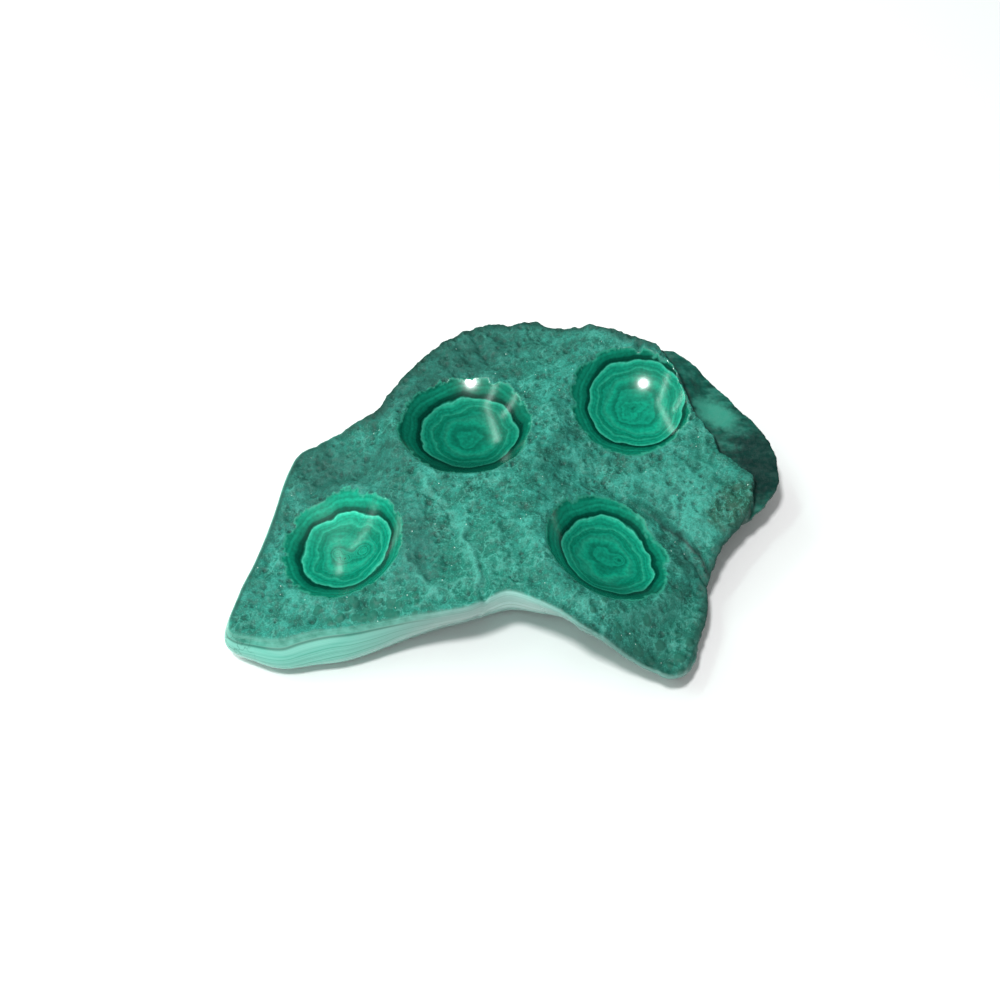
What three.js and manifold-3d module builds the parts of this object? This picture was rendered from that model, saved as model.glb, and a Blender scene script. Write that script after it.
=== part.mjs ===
// Malachite specimen: one thick slab of malachite crust, sawn flat underneath so that it rests level.
// Its top is the stone's own pitted crust, with ledges where sheets of it have broken away. Its sides
// are rounded, and four shallow bowls are ground into the top.
// Millimetres, +Z up. The origin is on the resting face, under the middle of the stone.

import * as THREE from 'three';
import { mergeVertices } from 'three/addons/utils/BufferGeometryUtils.js';
import Module from 'manifold-3d';

// The crest, where the crust meets the sides, walked anticlockwise seen from above. Each station has
// its x and y, how far the side swells out below it, and how far the resting face is drawn in from it.
const CREST = [
  [-87.5, -52.5, 2.5, 2], [-79, -56, 3.5, 1.5], [-71, -57.5, 4.5, 0.5], [-60.5, -56, 4.5, 0],
  [-50, -55.5, 4, 0.5], [-36.5, -54, 2.5, 5], [-24, -53.5, 1, 10], [-12, -52, 0.5, 12],
  [-6, -49.5, 1, 11], [-0.5, -47.5, 1, 11], [7.5, -50.5, 0.5, 14], [14.5, -54, 0, 18.5],
  [23.5, -60, 0, 19], [34.5, -63.5, 0, 13.5], [43.5, -65.5, 0, 8.5], [49.5, -67.5, 0, 7],
  [54, -66, 0, 6.5], [58, -60, 0.5, 5.5], [60.5, -51, 0.5, 5], [63, -42, 0.5, 5],
  [63, -34.5, 0, 6], [64.5, -30, 0, 9], [70, -20, 0, 11], [76.5, -12, 0, 11],
  [84.5, -4, 0, 10], [88.5, 1.5, 0, 8], [89.5, 11.5, 0.5, 6], [87, 21, 0.5, 5],
  [80, 29, 0.5, 5], [71, 40, 0.5, 5], [63, 48, 0.5, 5], [53, 51.5, 0.5, 5],
  [45, 53.5, 0.5, 5.5], [33, 58.5, 0.5, 6], [24, 62.5, 0.5, 6], [15.5, 64.5, 0.5, 6],
  [9.5, 67.5, 0.5, 6], [4, 66.5, 0.5, 6], [-8, 66, 0.5, 6], [-14.5, 64, 0.5, 6],
  [-23.5, 58.5, 0.5, 5.5], [-33, 47.5, 0.5, 5], [-40, 37.5, 0.5, 5], [-45.5, 28.5, 0.5, 5],
  [-55, 23.5, 0.5, 4.5], [-65, 18, 1, 4], [-70, 14.5, 1.5, 4], [-73, 7.5, 1.5, 4],
  [-77, -9.5, 2, 4], [-81.5, -27, 2, 4], [-85.5, -39, 2, 3],
];
const SAMPLES_PER_STATION = 3;
const WALL_BANDS = 5;
const DRAW_IN_POWER = 1.3; // 1 is a straight slope under the crest, 2 a wall that stays upright longer
const CREST_LIP = 1.2; // upright edge between the crust and the swelling side
const NORMAL_REACH = 3; // samples either way that set the direction out from the crest

// Heights of the crust above the resting face: x, y, z. Each one holds sway for about SWELL_REACH.
const SWELLS = [
  [-85.5, -53.5, 14.5], [-78.5, -21.5, 15], [-69.5, 12.5, 17.5], [-53.5, -24.5, 21], [-46.5, -51.5, 20.5],
  [-63.5, -48.5, 17.5], [-29.5, -21.5, 27.5], [-21.5, -46.5, 26], [0.5, -43.5, 28], [-1.5, -11.5, 29],
  [-13.5, 20.5, 27], [-11.5, 40.5, 24.5], [-39.5, 38.5, 22.5], [-23.5, 56.5, 23], [3.5, 62.5, 24],
  [14.5, 26.5, 27.5], [41.5, 30.5, 26], [42.5, 53.5, 32], [41.5, 6.5, 21], [58.5, -1.5, 19.5],
  [86.5, 8.5, 18.5], [70.5, 28.5, 23.5], [68.5, -19.5, 15.5], [32.5, -26.5, 23], [56.5, -29.5, 14],
  [10.5, -26.5, 30], [26.5, -47.5, 27.5], [13.5, -43.5, 29.5], [38.5, -5.5, 18.5], [50.5, -63.5, 11.5],
  [63.5, -46.5, 10.5],
];
const SWELL_REACH = 11;

// Ledges: walking along the line, the crust on the right lies lower by the drop. The step grows from
// nothing to its full drop between the two shares of the line, and dies away over the fade.
const UPPER_SHEET = { // the sheet of crust that ends above the front lobe
  line: [[39, -4], [43, -6.8], [47.5, -9.4], [52, -12.7], [58.2, -18.6], [62.1, -23.4], [64.2, -29.7]],
  drop: 2.2, halfStep: 1.6, fade: 14, grows: [0, 0.5],
};
const BROKEN_SHEET = { // the edge of the sheet broken away at the right
  line: [[77, -11.5], [79.5, -5.5], [81, 4.5], [75.5, 9.5], [70, 13.5], [68.5, 18.5], [65, 23.5], [62, 27.5],
    [58, 40.5], [49, 54.5]],
  drop: 3.2, halfStep: 1.5, fade: 200, grows: [-0.3, 0.15],
};
const LOW_STEP = { // a low curved step across the middle
  line: [[-17, -25.5], [-19.5, -18], [-24.5, -11.5], [-31.5, -7.5], [-37.5, -5.5]],
  drop: 0.9, halfStep: 1, fade: 9, grows: [0, 0.3],
};
const LEDGES = [UPPER_SHEET, BROKEN_SHEET, LOW_STEP];

// Creases that run in from the edges, and low ridges that cross the crust
const CREASES = [
  { line: [[-8.5, -37.5], [-7.5, -50.5]], depth: 1, width: 1.5 },
  { line: [[-13, 64.5], [-9.5, 54.5], [-6.5, 48.5]], depth: 0.9, width: 1.8 },
  { line: [[49.6, -13], [55.2, -18.9], [59.3, -26.4], [63.1, -33.5]], depth: 1.2, width: 1.5 },
];
const RIDGES = [
  { line: [[-31.5, 4], [-24.7, -9.7], [-16.8, -20.2], [-12.3, -30.1], [-9.7, -41]], rise: 0.8, width: 2 },
  { line: [[-34, -30], [-28.4, -39], [-24.5, -44.2], [-19.8, -47.5]], rise: 0.7, width: 2 },
];

// Low swellings of the crust: how high, how long, and how far and over what length each train of
// waves is bent by the other direction
const LUMP_RISE = 0.45;
const LUMPS_ACROSS = { length: 3.9, bend: 1.7, bendLength: 7.3 };
const LUMPS_ALONG = { length: 3.4, bend: 1.4, bendLength: 6.1 };

// Round pits in the crust, at most one to each square of a grid
const PIT_GRID = 7.4;
const PIT_SHARE = 0.75;
const PIT_RADIUS = [2.1, 3.1];
const PIT_DEPTH = 0.95;
const SCATTER = { column: 12.9898, row: 78.233, turn: 37.719, stretch: 43758.5453 };

// Polished bowls: the middle of the mouth, how steeply the crust climbs there along x and y, the
// mouth's radius and the depth. The crust keeps that slope around a bowl, out to COLLAR mouths.
const BOWLS = [
  { x: -53.4, y: -24, z: 21, climbX: 0.26, climbY: 0, mouth: 20.7, depth: 7.2 },
  { x: -14.6, y: 19.5, z: 26.8, climbX: 0.01, climbY: -0.09, mouth: 22.3, depth: 7.6 },
  { x: 40.6, y: 30.4, z: 26, climbX: -0.03, climbY: 0.23, mouth: 20.4, depth: 7.2 },
  { x: 32.1, y: -27, z: 23, climbX: -0.34, climbY: -0.14, mouth: 21.8, depth: 7.4, under: UPPER_SHEET },
];
const COLLAR = 1.35;
const BOWL_SEGMENTS = 34;
const BOWL_RINGS = 28;

// The rough block that the stone is cut from
const CRUST_STEP = 2.5;
const BLOCK = { length: 190, width: 148, below: 8, above: 50 };

const smoothstep = THREE.MathUtils.smoothstep;

// Distance from a line of points, which side it is on, and how far along the line the nearest place is
function placeByLine(line, x, y) {
  const lengths = line.slice(1).map(([bx, by], i) => Math.hypot(bx - line[i][0], by - line[i][1]));
  const total = lengths.reduce((sum, length) => sum + length, 0);
  const nearest = { distance: Infinity, rightward: 0, share: 0 };
  let walked = 0;
  lengths.forEach((length, i) => {
    const [ax, ay] = line[i];
    const [bx, by] = line[i + 1];
    const along = ((x - ax) * (bx - ax) + (y - ay) * (by - ay)) / length ** 2;
    const t = THREE.MathUtils.clamp(along, 0, 1);
    const distance = Math.hypot(x - ax - (bx - ax) * t, y - ay - (by - ay) * t);
    if (distance < nearest.distance) {
      const side = Math.sign((x - ax) * (by - ay) - (y - ay) * (bx - ax));
      nearest.distance = distance;
      nearest.rightward = side * distance;
      nearest.share = (walked + t * length) / total;
    }
    walked += length;
  });
  return nearest;
}

// The broad form of the top: a weighted mean of the heights around
function swellHeight(x, y) {
  let heights = 0;
  let weights = 0;
  for (const [sx, sy, sz] of SWELLS) {
    const weight = Math.exp(-((x - sx) ** 2 + (y - sy) ** 2) / (2 * SWELL_REACH ** 2));
    heights += weight * sz;
    weights += weight;
  }
  return heights / weights;
}

// How far a place has come down a ledge: 0 on the upper side, 1 on the lower
function stepDown({ halfStep }, rightward) {
  return smoothstep(rightward, -halfStep, halfStep);
}

// The broad form, with the crust around each bowl brought to the bowl's slope
function groundHeight(x, y) {
  let height = swellHeight(x, y);
  for (const bowl of BOWLS) {
    const reach = Math.hypot(x - bowl.x, y - bowl.y) / bowl.mouth;
    const slope = bowl.z + bowl.climbX * (x - bowl.x) + bowl.climbY * (y - bowl.y);
    const below = bowl.under ? stepDown(bowl.under, placeByLine(bowl.under.line, x, y).rightward) : 1;
    height = THREE.MathUtils.lerp(height, slope, below * (1 - smoothstep(reach, 1, COLLAR)));
  }
  return height;
}

function ledgeDrop(ledge, x, y) {
  const { rightward, share } = placeByLine(ledge.line, x, y);
  const grown = smoothstep(share, ledge.grows[0], ledge.grows[1]);
  return ledge.drop * grown * stepDown(ledge, rightward) * Math.exp(-Math.max(rightward, 0) / ledge.fade);
}

// How much of a crease or ridge is felt at a place: 1 on its line, less to either side
function besideLine({ line, width }, x, y) {
  return Math.exp(-((placeByLine(line, x, y).distance / width) ** 2));
}

function bentWave({ length, bend, bendLength }, along, across) {
  return Math.sin(along / length + bend * Math.sin(across / bendLength));
}

function lumpRise(x, y) {
  return LUMP_RISE * bentWave(LUMPS_ACROSS, x, y) * bentWave(LUMPS_ALONG, y, x);
}

// A fixed number between 0 and 1 for each square of the pit grid
function scatter(i, j, turn) {
  const wave = Math.sin(i * SCATTER.column + j * SCATTER.row + turn * SCATTER.turn) * SCATTER.stretch;
  return wave - Math.floor(wave);
}

// At most one round pit to each square of a jittered grid
function pitDrop(x, y) {
  const column = Math.floor(x / PIT_GRID);
  const row = Math.floor(y / PIT_GRID);
  let drop = 0;
  for (let i = column - 1; i <= column + 1; i += 1) {
    for (let j = row - 1; j <= row + 1; j += 1) {
      if (scatter(i, j, 0) < PIT_SHARE) {
        const px = (i + scatter(i, j, 1)) * PIT_GRID;
        const py = (j + scatter(i, j, 2)) * PIT_GRID;
        const radius = THREE.MathUtils.lerp(PIT_RADIUS[0], PIT_RADIUS[1], scatter(i, j, 3));
        const reach = Math.min(1, Math.hypot(x - px, y - py) / radius);
        drop = Math.max(drop, PIT_DEPTH * (1 - reach ** 2) ** 2);
      }
    }
  }
  return drop;
}

// The broken face is smooth; the rest of the top is lumpy and pitted
function crustHeight(x, y) {
  const ledges = LEDGES.reduce((sum, ledge) => sum + ledgeDrop(ledge, x, y), 0);
  const creases = CREASES.reduce((sum, crease) => sum + crease.depth * besideLine(crease, x, y), 0);
  const ridges = RIDGES.reduce((sum, ridge) => sum + ridge.rise * besideLine(ridge, x, y), 0);
  const crusted = 1 - ledgeDrop(BROKEN_SHEET, x, y) / BROKEN_SHEET.drop;
  return groundHeight(x, y) - ledges - creases + ridges + crusted * (lumpRise(x, y) - pitDrop(x, y));
}

const wasm = await Module();
wasm.setup();

function solidFrom(geometry) {
  geometry.deleteAttribute('normal');
  geometry.deleteAttribute('uv');
  const merged = mergeVertices(geometry);
  return new wasm.Manifold(new wasm.Mesh({
    numProp: 3,
    vertProperties: new Float32Array(merged.attributes.position.array),
    triVerts: new Uint32Array(merged.index.array),
  }));
}

// A block whose upper face is the crust
function crustBlock() {
  const { length, width, below, above } = BLOCK;
  const columns = Math.round(length / CRUST_STEP);
  const rows = Math.round(width / CRUST_STEP);
  const block = new THREE.BoxGeometry(length, width, below + above, columns, rows, 1);
  block.translate(0, 0, (above - below) / 2);
  const place = block.attributes.position;
  for (let i = 0; i < place.count; i += 1) {
    if (place.getZ(i) > 0) {
      place.setZ(i, crustHeight(place.getX(i), place.getY(i)));
    }
  }
  return solidFrom(block);
}

// The crest as evenly numbered points, each with its outward direction, swelling and draw-in
function crestPoints() {
  const line = new THREE.CatmullRomCurve3(CREST.map(([x, y]) => new THREE.Vector3(x, y, 0)), true);
  const forms = CREST.map(([, , out, under]) => new THREE.Vector3(out, under, 0));
  const form = new THREE.CatmullRomCurve3(forms, true);
  const count = CREST.length * SAMPLES_PER_STATION;
  const points = [];
  for (let i = 0; i < count; i += 1) {
    const before = line.getPoint(((i - NORMAL_REACH + count) % count) / count);
    const after = line.getPoint(((i + NORMAL_REACH) % count) / count);
    const outward = new THREE.Vector2(after.y - before.y, before.x - after.x).normalize();
    const { x: swelling, y: drawIn } = form.getPoint(i / count);
    const { x, y } = line.getPoint(i / count);
    points.push({ x, y, outward, swelling, drawIn, height: crustHeight(x, y) - CREST_LIP });
  }
  return points;
}

// The sides: upright above the crest, then swelling out and rolling under to the resting face
function sideRings(points) {
  const rings = [points.map(({ x, y }) => [x, y, BLOCK.above])];
  for (let band = 0; band <= WALL_BANDS; band += 1) {
    const t = band / WALL_BANDS;
    rings.push(points.map(({ x, y, outward, swelling, drawIn, height }) => {
      const out = swelling * Math.sin(Math.PI * t) - drawIn * t ** DRAW_IN_POWER;
      return [x + outward.x * out, y + outward.y * out, height * (1 - t)];
    }));
  }
  return rings;
}

function outlineBody() {
  const rings = sideRings(crestPoints());
  const count = rings[0].length;
  const triangles = [];
  for (let ring = 0; ring < rings.length - 1; ring += 1) {
    for (let i = 0; i < count; i += 1) {
      const upper = ring * count;
      const lower = upper + count;
      const next = (i + 1) % count;
      triangles.push(upper + i, lower + i, lower + next, upper + i, lower + next, upper + next);
    }
  }
  const cap = (ring, faceUp) => {
    const outline = rings[ring].map(([x, y]) => new THREE.Vector2(x, y));
    for (const [a, b, c] of THREE.ShapeUtils.triangulateShape(outline, [])) {
      const anticlockwise = THREE.ShapeUtils.area([outline[a], outline[b], outline[c]]) > 0;
      const corners = anticlockwise === faceUp ? [a, b, c] : [a, c, b];
      triangles.push(...corners.map((corner) => ring * count + corner));
    }
  };
  cap(0, true);
  cap(rings.length - 1, false);
  const body = new THREE.BufferGeometry();
  body.setAttribute('position', new THREE.Float32BufferAttribute(rings.flat(2), 3));
  body.setIndex(triangles);
  return solidFrom(body);
}

// The ball that grinds a bowl: its pole points straight down into the crust
function bowlBall({ x, y, z, climbX, climbY, mouth, depth }) {
  const radius = (mouth ** 2 + depth ** 2) / (2 * depth);
  const outOfCrust = new THREE.Vector3(-climbX, -climbY, 1).normalize();
  const ball = new THREE.SphereGeometry(radius, BOWL_SEGMENTS, BOWL_RINGS);
  ball.applyQuaternion(new THREE.Quaternion().setFromUnitVectors(new THREE.Vector3(0, 1, 0), outOfCrust));
  const middle = new THREE.Vector3(x, y, z).addScaledVector(outOfCrust, radius - depth);
  ball.translate(middle.x, middle.y, middle.z);
  return solidFrom(ball);
}

function slabGeometry() {
  let stone = crustBlock().intersect(outlineBody());
  for (const bowl of BOWLS) {
    stone = stone.subtract(bowlBall(bowl));
  }
  const { vertProperties, triVerts } = stone.getMesh();
  const slab = new THREE.BufferGeometry();
  slab.setAttribute('position', new THREE.BufferAttribute(vertProperties, 3));
  slab.setIndex(new THREE.BufferAttribute(triVerts, 1));
  slab.computeBoundingBox();
  const middle = slab.boundingBox.getCenter(new THREE.Vector3());
  slab.translate(-middle.x, -middle.y, -slab.boundingBox.min.z);
  slab.computeVertexNormals();
  return slab;
}

const malachite = new THREE.MeshStandardMaterial({ color: 0x2f7f6e, roughness: 0.55, metalness: 0 });
const slab = new THREE.Mesh(slabGeometry(), malachite);
slab.name = 'malachite_slab';

const specimen = new THREE.Group();
specimen.add(slab);

export default specimen;
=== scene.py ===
# %% [markdown]
# # A malachite specimen
# This stone is one thick slab of malachite crust. It is sawn flat underneath, its front-left side is
# polished, and four shallow bowls are ground into its top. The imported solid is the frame: it fixes where
# the stone lies and how big it is. The cells below make one fine mesh that stands for that solid, give
# it a finish, and set up a plain studio around it. Lengths are worked out in millimetres, as a maker
# would measure them, and turned into metres when the mesh is made.

# %% Load the frame
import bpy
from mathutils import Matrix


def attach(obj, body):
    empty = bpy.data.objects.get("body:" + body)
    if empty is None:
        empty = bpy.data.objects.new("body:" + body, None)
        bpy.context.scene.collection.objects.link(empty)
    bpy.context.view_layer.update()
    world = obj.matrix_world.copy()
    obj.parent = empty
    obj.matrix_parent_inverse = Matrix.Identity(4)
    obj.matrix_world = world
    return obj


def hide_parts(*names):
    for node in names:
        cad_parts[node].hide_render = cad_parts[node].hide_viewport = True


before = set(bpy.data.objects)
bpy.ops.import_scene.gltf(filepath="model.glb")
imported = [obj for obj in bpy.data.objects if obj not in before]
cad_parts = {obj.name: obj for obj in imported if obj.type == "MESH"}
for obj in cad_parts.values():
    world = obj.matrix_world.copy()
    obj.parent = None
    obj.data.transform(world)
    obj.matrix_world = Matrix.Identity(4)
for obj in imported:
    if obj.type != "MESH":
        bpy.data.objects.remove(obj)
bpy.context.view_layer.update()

import math

import bpy
import numpy as np
from mathutils import Matrix, Vector, kdtree
from mathutils.geometry import delaunay_2d_cdt

MM = 0.001

# %% [markdown]
# ## The crest
# Seen from above, the stone's outline is its crest: the line where the rough crust on top turns over into
# the sides. We could trace it with a Bezier curve by hand, but a list of stations is easier to check
# against the solid, and each station can also say how the side below it is shaped: how far it swells out,
# how far the flat underside is drawn in, and whether the side there is polished (1) or raw (0). A smooth
# curve through the stations then gives as many points as the mesh needs.

# %% Stations round the crest: x, y, swelling, draw-in, polish
CREST = np.array([
    (-87.5, -52.5, 2.5, 2, 1), (-79, -56, 3.5, 1.5, 1), (-71, -57.5, 4.5, 0.5, 1), (-60.5, -56, 4.5, 0, 1),
    (-50, -55.5, 4, 0.5, 1), (-36.5, -54, 2.5, 5, 1), (-24, -53.5, 1, 10, 1), (-12, -52, 0.5, 12, 1),
    (-6, -49.5, 1, 11, 1), (-0.5, -47.5, 1, 11, 1), (7.5, -50.5, 0.5, 14, 1), (14.5, -54, 0, 18.5, 0.6),
    (23.5, -60, 0, 19, 0.4), (34.5, -63.5, 0, 13.5, 0.4), (43.5, -65.5, 0, 8.5, 0.4),
    (49.5, -67.5, 0, 7, 0.4),
    (54, -66, 0, 6.5, 0.4), (58, -60, 0.5, 5.5, 0.2), (60.5, -51, 0.5, 5, 0), (63, -42, 0.5, 5, 0),
    (63, -34.5, 0, 6, 0), (64.5, -30, 0, 9, 0), (70, -20, 0, 11, 0), (76.5, -12, 0, 11, 0),
    (84.5, -4, 0, 10, 0), (88.5, 1.5, 0, 8, 0), (89.5, 11.5, 0.5, 6, 0), (87, 21, 0.5, 5, 0),
    (80, 29, 0.5, 5, 0), (71, 40, 0.5, 5, 0), (63, 48, 0.5, 5, 0), (53, 51.5, 0.5, 5, 0),
    (45, 53.5, 0.5, 5.5, 0), (33, 58.5, 0.5, 6, 0), (24, 62.5, 0.5, 6, 0), (15.5, 64.5, 0.5, 6, 0),
    (9.5, 67.5, 0.5, 6, 0), (4, 66.5, 0.5, 6, 0), (-8, 66, 0.5, 6, 0), (-14.5, 64, 0.5, 6, 0),
    (-23.5, 58.5, 0.5, 5.5, 0), (-33, 47.5, 0.5, 5, 0), (-40, 37.5, 0.5, 5, 0), (-45.5, 28.5, 0.5, 5, 0),
    (-55, 23.5, 0.5, 4.5, 0.2), (-65, 18, 1, 4, 0.5), (-70, 14.5, 1.5, 4, 0.8), (-73, 7.5, 1.5, 4, 1),
    (-77, -9.5, 2, 4, 1), (-81.5, -27, 2, 4, 1), (-85.5, -39, 2, 3, 1),
])
STEPS = 14  # curve points to each span between stations
CREST_GAP = 0.55  # between neighbouring points of the finished crest


def closed_curve(stations, steps):
    """A centripetal Catmull-Rom curve through a closed ring of stations."""
    before, start, end, after = (np.roll(stations, turn, axis=0) for turn in (1, 0, -1, -2))
    paces = [np.linalg.norm(b - a, axis=1, keepdims=True) ** 0.5
             for a, b in ((before, start), (start, end), (end, after))]
    leave = (start - before) / paces[0] - (end - before) / (paces[0] + paces[1]) + (end - start) / paces[1]
    arrive = (end - start) / paces[1] - (after - start) / (paces[1] + paces[2]) + (after - end) / paces[2]
    t = (np.arange(steps) / steps)[None, :, None]
    start, end, leave, arrive = (v[:, None] for v in (start, end, leave * paces[1], arrive * paces[1]))
    hermite = ((2 * t**3 - 3 * t**2 + 1) * start + (t**3 - 2 * t**2 + t) * leave
               + (3 * t**2 - 2 * t**3) * end + (t**3 - t**2) * arrive)
    return hermite.reshape(-1, stations.shape[1])


def ripple(x, y, length, seed):
    """Smooth waves of about the given length that seem random but are the same on every run."""
    draw = np.random.default_rng(seed)
    waves = zip(draw.uniform(0, 2 * np.pi, 7), draw.uniform(0, 2 * np.pi, 7), draw.uniform(0.7, 1.5, 7))
    total = sum(np.sin((x * np.cos(turn) + y * np.sin(turn)) * 2 * np.pi * pace / length + shift)
                for turn, shift, pace in waves)
    return total / 7**0.5


# %% Walk the crest at an even pace
curve = closed_curve(CREST[:, :2], STEPS)
ahead, behind = np.roll(curve, -STEPS, axis=0), np.roll(curve, STEPS, axis=0)
outward = np.column_stack([ahead[:, 1] - behind[:, 1], behind[:, 0] - ahead[:, 0]])
outward /= np.linalg.norm(outward, axis=1, keepdims=True)

station = np.arange(len(CREST) + 1)
spread = np.column_stack([
    np.interp(np.arange(len(curve)) / STEPS, station, np.append(column, column[0]))
    for column in CREST[:, 2:].T
])
window = np.hanning(2 * STEPS + 1)[:, None]
turned = [w * np.roll(spread, turn, axis=0) for turn, w in zip(range(-STEPS, STEPS + 1), window)]
spread = sum(turned) / window.sum()
walk = np.append(0, np.cumsum(np.linalg.norm(np.roll(curve, -1, axis=0) - curve, axis=1)))
count = round(walk[-1] / CREST_GAP)
columns = np.column_stack([curve, outward, spread])
columns = np.vstack([columns, columns[:1]])
even = np.column_stack([
    np.interp(np.arange(count) * walk[-1] / count, walk, column) for column in columns.T
])
crest, outward = even[:, :2], even[:, 2:4]
swelling, draw_in, side_polish = even[:, 4:].T

JAG = 0.2  # how far raw edges wander in and out of the smooth outline
jag = ripple(*crest.T, 11, 1) + 0.6 * ripple(*crest.T, 4.3, 2) + 0.4 * ripple(*crest.T, 1.9, 3)
crest = crest + outward * ((1 - side_polish) * JAG * jag)[:, None]
print("crest:", count, "points,", round(walk[-1]), "mm round")

# %% [markdown]
# ## The form of the top
# The top of a natural crust is a height for every place: broad swells, ledges where a sheet of crust has
# broken away, creases, low lumps and round pits. Sculpting would do, but formulas keep the mesh and the
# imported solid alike, because both are made from the same few numbers. Each helper takes whole arrays of
# places at once, which NumPy does far faster than a loop over points.

# %% Broad swells: x, y, height
SWELLS = np.array([
    (-85.5, -53.5, 14.5), (-78.5, -21.5, 15), (-69.5, 12.5, 17.5), (-53.5, -24.5, 21), (-46.5, -51.5, 20.5),
    (-63.5, -48.5, 17.5), (-29.5, -21.5, 27.5), (-21.5, -46.5, 26), (0.5, -43.5, 28), (-1.5, -11.5, 29),
    (-13.5, 20.5, 27), (-11.5, 40.5, 24.5), (-39.5, 38.5, 22.5), (-23.5, 56.5, 23), (3.5, 62.5, 24),
    (14.5, 26.5, 27.5), (41.5, 30.5, 26), (42.5, 53.5, 32), (41.5, 6.5, 21), (58.5, -1.5, 19.5),
    (86.5, 8.5, 18.5), (70.5, 28.5, 23.5), (68.5, -19.5, 15.5), (32.5, -26.5, 23), (56.5, -29.5, 14),
    (10.5, -26.5, 30), (26.5, -47.5, 27.5), (13.5, -43.5, 29.5), (38.5, -5.5, 18.5), (50.5, -63.5, 11.5),
    (63.5, -46.5, 10.5),
])
SWELL_REACH = 11
print("swells:", len(SWELLS))


def smoothstep(low, high, value):
    t = np.clip((value - low) / (high - low), 0, 1)
    return t * t * (3 - 2 * t)


def swell_height(x, y):
    """Each swell pulls the height towards its own, less the further away it is."""
    weights = [np.exp(-((x - sx) ** 2 + (y - sy) ** 2) / (2 * SWELL_REACH**2)) for sx, sy, _ in SWELLS]
    return sum(w * sz for w, sz in zip(weights, SWELLS[:, 2])) / sum(weights)


# %% Ledges and creases
# Walking along a ledge, the crust on the right lies lower by the drop. The step grows between two shares
# of the line and dies away over the fade.
UPPER_SHEET = dict(line=[(39, -4), (43, -6.8), (47.5, -9.4), (52, -12.7), (58.2, -18.6), (62.1, -23.4),
                         (64.2, -29.7)],
                   drop=2.2, half_step=0.6, fade=14, grows=(0.0, 0.5))
BROKEN_SHEET = dict(line=[(77, -11.5), (79.5, -5.5), (81, 4.5), (75.5, 9.5), (70, 13.5), (68.5, 18.5),
                          (65, 23.5), (62, 27.5), (58, 40.5), (49, 54.5)],
                    drop=3.2, half_step=0.7, fade=200, grows=(-0.3, 0.15))
LOW_STEP = dict(line=[(-17, -25.5), (-19.5, -18), (-24.5, -11.5), (-31.5, -7.5), (-37.5, -5.5)],
                drop=1.3, half_step=0.7, fade=9, grows=(0, 0.3))
LEDGES = (UPPER_SHEET, BROKEN_SHEET, LOW_STEP)
CREASES = (
    dict(line=[(-8.5, -37.5), (-7.5, -50.5)], depth=1.3, width=1.0),
    dict(line=[(-13, 64.5), (-9.5, 54.5), (-6.5, 48.5)], depth=0.9, width=1.6),
    dict(line=[(49.6, -13), (55.2, -18.9), (59.3, -26.4), (63.1, -33.5)], depth=1.5, width=0.7),
)
RIDGES = (
    dict(line=[(-31.5, 4), (-24.7, -9.7), (-16.8, -20.2), (-12.3, -30.1), (-9.7, -41), (-8.4, -49.8)],
         depth=-1.1, width=1.8),
    dict(line=[(-34, -30), (-28.4, -39), (-24.5, -44.2), (-19.8, -47.5)], depth=-1.0, width=1.6),
    dict(line=[(-2.9, -20.9), (-2.9, -30.8), (-2, -37.9)], depth=-0.4, width=1.6),
)
LEDGE_WANDER = 0.28  # how far a broken edge strays from its line
SHADOW_OUT, SHADOW_WIDTH = 0.7, 0.55  # the painted shadow at a ledge's foot: how far out it lies, and its width
print("ledges:", len(LEDGES), "creases:", len(CREASES), "ridges:", len(RIDGES))


def place_by_line(line, x, y):
    """Distance from a line of points, how far right of it, and the share of the line walked by then."""
    lengths = [math.dist(a, b) for a, b in zip(line, line[1:])]
    distance = np.full(np.shape(x), np.inf)
    rightward, share = np.zeros(np.shape(x)), np.zeros(np.shape(x))
    walked = 0.0
    for (ax, ay), (bx, by), length in zip(line, line[1:], lengths):
        t = np.clip(((x - ax) * (bx - ax) + (y - ay) * (by - ay)) / length**2, 0, 1)
        away = np.hypot(x - ax - (bx - ax) * t, y - ay - (by - ay) * t)
        side = np.sign((x - ax) * (by - ay) - (y - ay) * (bx - ax))
        nearer = away < distance
        distance = np.where(nearer, away, distance)
        rightward = np.where(nearer, side * away, rightward)
        share = np.where(nearer, (walked + t * length) / sum(lengths), share)
        walked += length
    return distance, rightward, share


def step_down(ledge, x, y):
    """0 on the upper side of a ledge, 1 on the lower."""
    _, rightward, _ = place_by_line(ledge["line"], x, y)
    wander = LEDGE_WANDER * (ripple(x, y, 6, 11) + 0.5 * ripple(x, y, 2.3, 12))
    return smoothstep(-ledge["half_step"], ledge["half_step"], rightward + wander)


def ledge_drop(ledge, x, y):
    _, rightward, share = place_by_line(ledge["line"], x, y)
    fading = np.exp(-np.maximum(rightward, 0) / ledge["fade"])
    return ledge["drop"] * smoothstep(*ledge["grows"], share) * step_down(ledge, x, y) * fading


def ledge_foot_shadow(ledge, x, y):
    """1 where a shadow is painted at the foot of a ledge, 0 away from it."""
    _, rightward, share = place_by_line(ledge["line"], x, y)
    return np.exp(-(((rightward - SHADOW_OUT) / SHADOW_WIDTH) ** 2)) * smoothstep(*ledge["grows"], share)


def crease_drop(crease, x, y):
    _, rightward, share = place_by_line(crease["line"], x, y)
    stray = rightward + crease["width"] * 0.5 * ripple(x, y, 8, 13)
    ends = smoothstep(0, 0.15, share) * smoothstep(1, 0.85, share) if crease["depth"] < 0 else 1
    return crease["depth"] * ends * np.exp(-((stray / crease["width"]) ** 2))
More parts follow.
